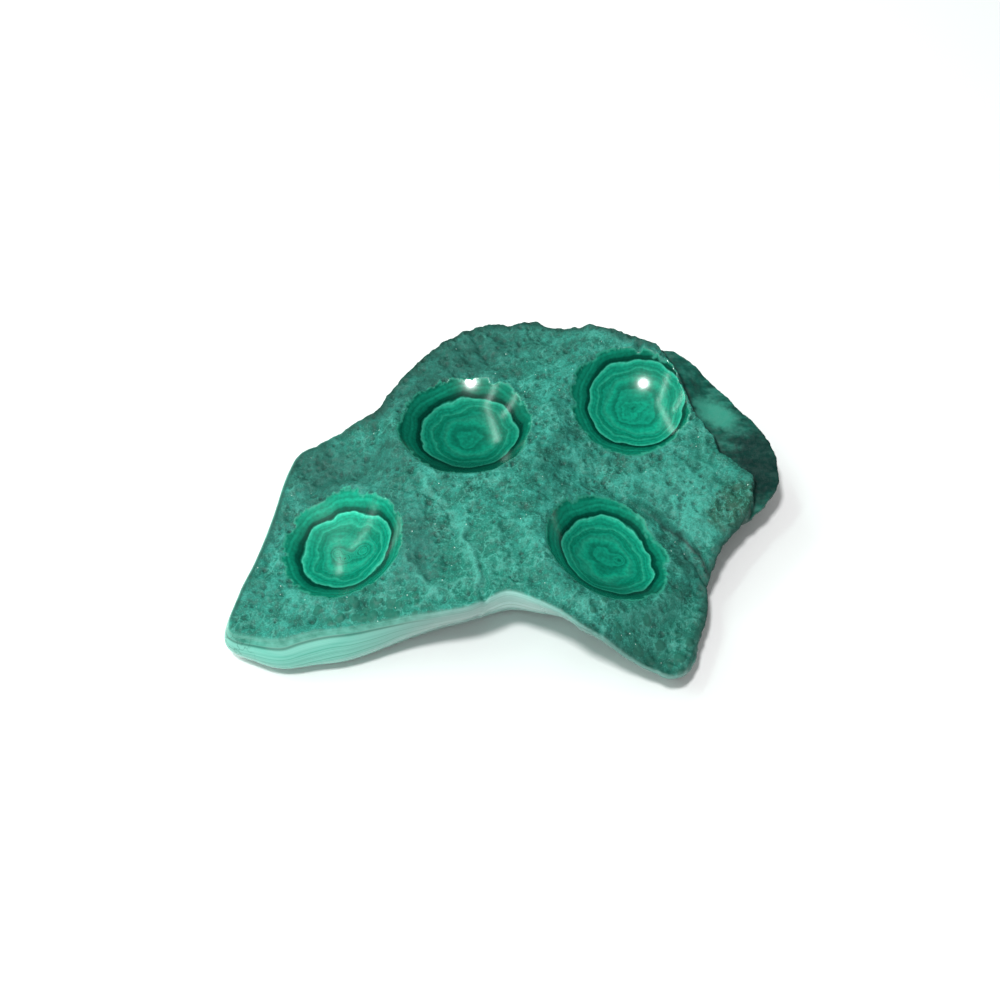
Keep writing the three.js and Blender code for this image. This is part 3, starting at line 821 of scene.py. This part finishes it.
def ramp(value, stops):
    """A colour ramp from a list of places and colours."""
    node = make(finish, "ShaderNodeValToRGB", {0: value})
    elements = node.color_ramp.elements
    while len(elements) < len(stops):
        elements.new(1.0)
    for element, (place, colour) in zip(elements, stops):
        element.position = place
        element.color = colour
    return node.outputs[0]


def kept(name):
    return make(finish, "ShaderNodeAttribute", attribute_name=name).outputs["Fac"]


object_place = make(finish, "ShaderNodeTexCoord").outputs["Object"]
spot = make(finish, "ShaderNodeVectorMath", {0: object_place, "Scale": 1 / MM}, operation="SCALE").outputs[0]

# %% The dusty crust
def ragged(name, low, high):
    """A soft patch kept on the mesh, with a noisy edge."""
    edge = calc(finish, "ADD", kept(name), about_zero(finish, cloud(finish, spot, 2.2, 4.0, 0.65), 1.1))
    return ease(finish, edge, low, high)


crust = ramp(cloud(finish, spot, 6.0, 6.0, 0.66), (
    (0.30, paint(0, 80, 66)), (0.42, paint(4, 98, 83)), (0.5, paint(18, 114, 99)),
    (0.58, paint(30, 129, 114)), (0.72, paint(56, 148, 134)),
))
crust = blend(calc(finish, "MULTIPLY", ragged("green", 0.25, 0.95), 0.85), crust, paint(0, 106, 89))
# Paler patches: dusty crust, and painted light on the plate, the front lobe and the front-left edge.
crust = blend(calc(finish, "MULTIPLY", ragged("dusty", 0.3, 1.0), 0.55), crust, paint(62, 158, 142))
crust = blend(calc(finish, "MULTIPLY", ragged("olive", 0.15, 0.65), 0.85), crust, paint(20, 72, 52))
blotch = cloud(finish, shifted(finish, spot, (40.0, 9.0, 0.0)), 2.4, 3.0)
crust = blend(ease(finish, blotch, 0.54, 0.66, 0.0, 0.55), crust, paint(0, 90, 74))
# Painted shade in the pits and hollows of the relief, and painted highlight on its lips and rises.
crust = blend(ease(finish, kept("relief"), -0.1, -0.7, 0.0, 0.7), crust, paint(0, 68, 57))
crust = blend(ease(finish, kept("relief"), 0.05, 0.5, 0.0, 0.4), crust, paint(76, 165, 149))
# Painted highlight along the tops of the ridges.
crust = blend(ease(finish, kept("ridge"), 0.2, 0.9, 0.0, 0.45), crust, paint(76, 165, 149))

# %% Veins, grains, painted shade and painted glints on the crust
wander = make(finish, "ShaderNodeTexNoise", {"Vector": spot, "Scale": 0.4, "Detail": 2.0}).outputs["Color"]
strayed = make(finish, "ShaderNodeVectorMath", {0: wander, 1: (5.0, 5.0, 5.0), 2: spot},
               operation="MULTIPLY_ADD").outputs[0]
vein = make(finish, "ShaderNodeTexVoronoi", {"Vector": strayed, "Scale": 1 / 5.5}, feature="DISTANCE_TO_EDGE")
crack = ease(finish, vein.outputs["Distance"], 0.0, 0.05, 0.55, 0.0)
vein = ease(finish, vein.outputs["Distance"], 0.0, 0.08, 0.45, 0.0)
vein = calc(finish, "MULTIPLY", vein, ease(finish, cloud(finish, spot, 8.0), 0.42, 0.6))
crust = blend(vein, crust, paint(76, 168, 152))
grain = cloud(finish, spot, 0.5, 3.0, 0.6)
crust = blend(ease(finish, grain, 0.54, 0.68, 0.0, 0.4), crust, paint(78, 173, 157))
crust = blend(ease(finish, grain, 0.48, 0.34, 0.0, 0.45), crust, paint(0, 66, 54))
bubble = ease(finish, kept("nodule"), 0.08, 0.3)
crust = blend(calc(finish, "MULTIPLY", bubble, 0.85), crust, paint(2, 92, 75))
# Darker patches of the crust: partly the stone's own colour, partly painted shade.
crust = blend(calc(finish, "MULTIPLY", ragged("dark", 0.1, 1.1), 0.68), crust, paint(14, 66, 58))
# Painted shade along the raw crest and down the raw sides, and along the left crest.
crust = blend(calc(finish, "MULTIPLY", kept("edge"), 0.85), crust, paint(4, 56, 47))
# Painted glints: tiny white specks in a share of small cells, standing in for light caught by crystals.
glint = make(finish, "ShaderNodeTexVoronoi", {"Vector": spot, "Scale": 1 / 0.9}, feature="F1")
chance = make(finish, "ShaderNodeSeparateXYZ", {0: glint.outputs["Color"]}).outputs
where = ease(finish, cloud(finish, spot, 14.0), 0.45, 0.62, 0.995, 0.972)
painted_glints = calc(finish, "MULTIPLY", calc(finish, "GREATER_THAN", chance[0], where),
               calc(finish, "LESS_THAN", glint.outputs["Distance"], 0.18))
crust = blend(calc(finish, "MULTIPLY", painted_glints, 0.8), crust, paint(214, 236, 228))

# %% The smooth broken face
drawn = make(finish, "ShaderNodeMapping", {"Vector": spot, "Rotation": (0.0, 0.0, 0.9),
                                           "Scale": (0.35, 1.0, 1.0)})
streak = cloud(finish, drawn.outputs[0], 3.0, 4.0, 0.6)
broken = ramp(streak, (
    (0.36, paint(6, 60, 51)), (0.5, paint(16, 82, 70)), (0.64, paint(38, 110, 96)),
))
broken = blend(calc(finish, "MULTIPLY", ragged("pale", 0.25, 1.2), 0.85), broken, paint(56, 146, 126))
# The same darker patches, partly painted shade, darken the broken face towards its right end.
broken = blend(calc(finish, "MULTIPLY", ragged("dark", 0.1, 0.9), 0.85), broken, paint(10, 40, 38))
crust = blend(kept("broken"), crust, broken)
# Painted shadow: a dark line at the foot of each ledge.
crust = blend(calc(finish, "MULTIPLY", kept("foot"), 0.85), crust, paint(4, 34, 30))

# %% Rings of the bowls: depth in millimetres and colour
RING_DEPTH = 9.0
RINGS = (
    (0.0, paint(2, 84, 66)), (0.5, paint(5, 104, 82)), (1.0, paint(11, 116, 93)),
    (1.5, paint(6, 104, 82)), (1.95, paint(12, 118, 95)), (2.3, paint(7, 110, 87)),
    (2.9, paint(4, 98, 77)), (3.2, paint(2, 80, 63)), (3.35, paint(0, 60, 47)),
    (3.8, paint(0, 54, 42)), (3.95, paint(2, 80, 62)), (4.12, paint(56, 164, 138)),
    (4.34, paint(26, 142, 115)), (4.7, paint(10, 126, 101)), (5.3, paint(8, 118, 94)),
    (5.55, paint(30, 144, 117)), (5.8, paint(8, 120, 95)), (6.15, paint(3, 98, 77)),
    (6.4, paint(14, 130, 105)), (6.7, paint(28, 142, 115)), (7.0, paint(10, 124, 99)),
    (7.6, paint(7, 114, 91)), (8.0, paint(12, 128, 103)), (8.4, paint(9, 122, 97)),
    (8.52, paint(1, 78, 61)), (8.68, paint(14, 132, 106)), (9.0, paint(10, 124, 99)),
)
print("rings:", len(RINGS), "stops")
waver = calc(finish, "ADD", about_zero(finish, cloud(finish, spot, 9.0, 1.0), 2.2),
             about_zero(finish, cloud(finish, spot, 2.6, 1.0), 0.4))
layer = calc(finish, "ADD", calc(finish, "ADD", kept("layer"), kept("growth")), waver)
folded = calc(finish, "PINGPONG", layer, RING_DEPTH)
rings = ramp(calc(finish, "DIVIDE", folded, RING_DEPTH), [(d / RING_DEPTH, c) for d, c in RINGS])
fine_lines = make(finish, "ShaderNodeTexNoise", {"W": layer, "Scale": 2.2, "Detail": 3.0},
                  noise_dimensions="1D")
contrast = ease(finish, folded, 3.4, 4.4, 0.6, 1.0)
lines = calc(finish, "MULTIPLY", ease(finish, fine_lines.outputs[0], 0.3, 0.7, -0.2, 0.2), contrast)
rings = toned(rings, calc(finish, "ADD", lines, 1.0))
mottle = cloud(finish, spot, 1.1, 3.0)
rings = toned(rings, ease(finish, mottle, 0.32, 0.68, 0.86, 1.14))
# Each bowl's tone, with painted shade on its near wall and painted light on its far wall.
rings = toned(rings, kept("tone"))
# Painted highlight: a pale line along each bowl's lip.
rings = blend(calc(finish, "MULTIPLY", kept("rim"), 0.6), rings, paint(66, 164, 140))

# %% Stripes of the polished side
side_layer = calc(finish, "ADD", kept("layer"), about_zero(finish, cloud(finish, spot, 16.0, 1.0), 2.2))
side_inputs = {"W": side_layer, "Scale": 0.6, "Detail": 3.0, "Roughness": 0.65}
side_noise = make(finish, "ShaderNodeTexNoise", side_inputs, noise_dimensions="1D").outputs[0]
stripes = ramp(side_noise, (
    (0.30, paint(56, 142, 122)), (0.46, paint(110, 184, 168)), (0.54, paint(78, 158, 140)),
    (0.62, paint(126, 190, 177)),
))
along_x = make(finish, "ShaderNodeSeparateXYZ", {0: spot}).outputs["X"]
# Painted reflection: the polished side turns greyer and then brighter towards its right.
stripes = blend(ease(finish, along_x, -60.0, -15.0, 0.0, 0.75), stripes, toned(paint(112, 141, 136), ease(
    finish, side_noise, 0.3, 0.7, 0.6, 1.2)))
stripes = toned(stripes, ease(finish, along_x, -10.0, -3.0, 1.0, 1.45))
upper = ease(finish, side_layer, 1.9, 2.6, 0.75, 0.0)
upper = calc(finish, "MULTIPLY", upper, ease(finish, along_x, -40.0, -10.0, 1.0, 0.0))
upper_tint = ramp(cloud(finish, spot, 3.0, 4.0), ((0.35, paint(26, 118, 98)), (0.65, paint(80, 160, 142))))
stripes = blend(upper, stripes, upper_tint)
top_line = calc(finish, "MULTIPLY", ease(finish, side_layer, 2.2, 2.6),
                ease(finish, side_layer, 2.8, 3.4, 1.0, 0.0))
top_line = calc(finish, "MULTIPLY", top_line, ease(finish, along_x, -40.0, -15.0, 0.75, 0.1))
stripes = blend(top_line, stripes, paint(12, 92, 75))
crack = calc(finish, "MULTIPLY", crack, ease(finish, along_x, -84.0, -76.0, 1.0, 0.0))
stripes = blend(crack, stripes, paint(10, 84, 68))

# %% Put the parts of the finish together
colour = blend(kept("side"), crust, stripes)
colour = blend(kept("polish"), colour, rings)
colour = blend(kept("sawn"), colour, toned(rings, 0.9))
dull = ease(finish, cloud(finish, spot, 1.5, 3.0), 0.3, 0.7, 0.58, 0.85)
gloss = calc(finish, "ADD", calc(finish, "MULTIPLY", kept("broken"), -0.3), dull)


def towards(value, share, goal):
    """Move a plain number towards a goal by a share."""
    return make(finish, "ShaderNodeMix", {0: share, 2: value, 3: goal}, data_type="FLOAT").outputs[0]


gloss = towards(gloss, kept("side"), 0.2)
gloss = towards(gloss, kept("polish"), 0.17)
worn = calc(finish, "MULTIPLY", kept("worn"), kept("polish"))
gloss = towards(gloss, worn, 0.42)
shine = towards(0.5, worn, 0.08)
gloss = towards(gloss, kept("sawn"), 0.4)
bump_height = calc(finish, "MULTIPLY", cloud(finish, spot, 0.45, 4.0, 0.6), calc(finish, "SUBTRACT", 1.0,
                   calc(finish, "MAXIMUM", kept("polish"), kept("side"))))
bump_inputs = {"Height": bump_height, "Strength": 0.5, "Distance": 0.15 * MM}
bump = make(finish, "ShaderNodeBump", bump_inputs).outputs[0]
shader = make(finish, "ShaderNodeBsdfPrincipled", {"Base Color": colour, "Roughness": gloss, "IOR": 1.5,
    "Specular IOR Level": shine, "Normal": bump})
make(finish, "ShaderNodeOutputMaterial", {"Surface": shader.outputs[0]})
print("finish:", len(finish.nodes), "nodes")

# %% Carve the blank and keep the result as a plain mesh
stone = make(relief, "GeometryNodeSetMaterial", {"Geometry": stone, "Material": malachite}).outputs[0]
make(relief, "NodeGroupOutput", {"Geometry": stone})

blank = bpy.data.objects.new("malachite_blank", blank_mesh)
bpy.context.scene.collection.objects.link(blank)
carving = blank.modifiers.new("relief", "NODES")
carving.node_group = relief
for name, identifier in RELIEF_IDS.items():
    carving[identifier] = RELIEF_SIZES[name]
graph = bpy.context.evaluated_depsgraph_get()
carved = bpy.data.meshes.new_from_object(
    blank.evaluated_get(graph), preserve_all_data_layers=True, depsgraph=graph)
bpy.data.objects.remove(blank)

carved.shade_smooth()
slab = bpy.data.objects.new("malachite_stone", carved)
bpy.context.scene.collection.objects.link(slab)
carved.calc_loop_triangles()
print("stone:", len(carved.vertices), "points,", len(carved.loop_triangles), "triangles")
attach(slab, "root")
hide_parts("malachite_slab")

# %% [markdown]
# ## Studio
# The stone lies on a plain pale floor. Polished malachite mirrors whatever is bright around it, so the
# lights are few: one round lamp high at the front left, a broad soft panel low at the front that brightens
# the polished side, a panel low at the left that rakes across the pits and isn't mirrored, and narrow
# strips at the left and back left that draw curved streaks in the bowls. A soft even light from all round
# fills the shadows.

# %% Floor
FLOOR_HALF = 3.0
floor_mesh = bpy.data.meshes.new("floor")
corners = [(-FLOOR_HALF, -FLOOR_HALF, 0), (FLOOR_HALF, -FLOOR_HALF, 0), (FLOOR_HALF, FLOOR_HALF, 0),
           (-FLOOR_HALF, FLOOR_HALF, 0)]
floor_mesh.from_pydata(corners, [], [(0, 1, 2, 3)])
floor = bpy.data.objects.new("floor", floor_mesh)
bpy.context.scene.collection.objects.link(floor)
floor_finish = bpy.data.materials.new("pale_floor")
floor_finish.use_nodes = True
floor_finish.node_tree.nodes["Principled BSDF"].inputs["Base Color"].default_value = paint(238, 238, 238)
floor_finish.node_tree.nodes["Principled BSDF"].inputs["Roughness"].default_value = 0.9
floor_mesh.materials.append(floor_finish)
print("floor:", 2 * FLOOR_HALF, "m square")

# %% Lights
AIM = Vector((-2.9, -5.1, 18.0)) * MM


def towards_light(azimuth, elevation):
    """A direction: azimuth 0 is the camera's side, positive to the right."""
    a, e = math.radians(azimuth), math.radians(elevation)
    return Vector((math.sin(a) * math.cos(e), -math.cos(a) * math.cos(e), math.sin(e)))


def add_light(name, azimuth, elevation, distance, size, power, shape="RECTANGLE"):
    """An area light of the given width and height that faces the stone."""
    data = bpy.data.lights.new(name, "AREA")
    data.shape = shape
    data.size, data.size_y = size
    data.energy = power
    lamp = bpy.data.objects.new(name, data)
    way = towards_light(azimuth, elevation)
    lamp.location = AIM + way * distance
    lamp.rotation_euler = (-way).to_track_quat("-Z", "Y").to_euler()
    bpy.context.scene.collection.objects.link(lamp)
    return lamp


STRIP_TINT = (0.72, 1.0, 0.9)  # a faint green, so that the streaks don't look pink on the green stone
STRIP_DISTANCE, STRIP_WIDTH = 0.9, 0.05


def add_strip(name, start, end, power):
    """A long light between two directions, each an azimuth and an elevation."""
    first, last = (towards_light(*way) * STRIP_DISTANCE for way in (start, end))
    middle = (first + last) / 2
    along, back = (last - first).normalized(), middle.normalized()
    across = back.cross(along).normalized()
    lamp = add_light(name, 0, 0, STRIP_DISTANCE, ((last - first).length, STRIP_WIDTH), power)
    lamp.location = AIM + middle
    lamp.rotation_euler = Matrix((along, across, along.cross(across))).transposed().to_euler()
    lamp.data.color = STRIP_TINT


add_light("lamp", -27, 72, 1.0, (0.13, 0.13), 7.0, "DISK")
add_light("front_panel", -12, 16, 1.2, (1.2, 0.4), 3.0)
rake = add_light("rake_panel", -120, 28, 1.1, (0.9, 0.6), 5.8)
rake.visible_glossy = False  # it brings out the pits but isn't mirrored in the bowls
add_strip("strip_left", (-61, 46), (-115, 66), 1.1)
add_strip("strip_back", (-115, 66), (-155, 25), 1.1)
add_strip("strip_low", (-80, 24), (-130, 45), 1.2)

world = bpy.data.worlds.new("studio")
bpy.context.scene.world = world
world.use_nodes = True
world.node_tree.nodes["Background"].inputs["Color"].default_value = (1.0, 1.0, 1.0, 1.0)
world.node_tree.nodes["Background"].inputs["Strength"].default_value = 0.38
world.cycles_visibility.glossy = False  # the room lights the stone but isn't mirrored in it
bpy.context.scene.view_settings.view_transform = "Standard"

# %% Camera at the photograph's angle
ELEVATION, DISTANCE = 54.0, 543.3  # degrees above the floor, and millimetres from the aim
camera_data = bpy.data.cameras.new("camera")
camera_data.lens, camera_data.sensor_width = 60.0, 36.0
camera = bpy.data.objects.new("camera", camera_data)
camera.location = AIM + towards_light(0, ELEVATION) * DISTANCE * MM
camera.rotation_euler = (-towards_light(0, ELEVATION)).to_track_quat("-Z", "Y").to_euler()
bpy.context.scene.collection.objects.link(camera)
bpy.context.scene.camera = camera
print("camera at", [round(v / MM) for v in camera.location], "mm")
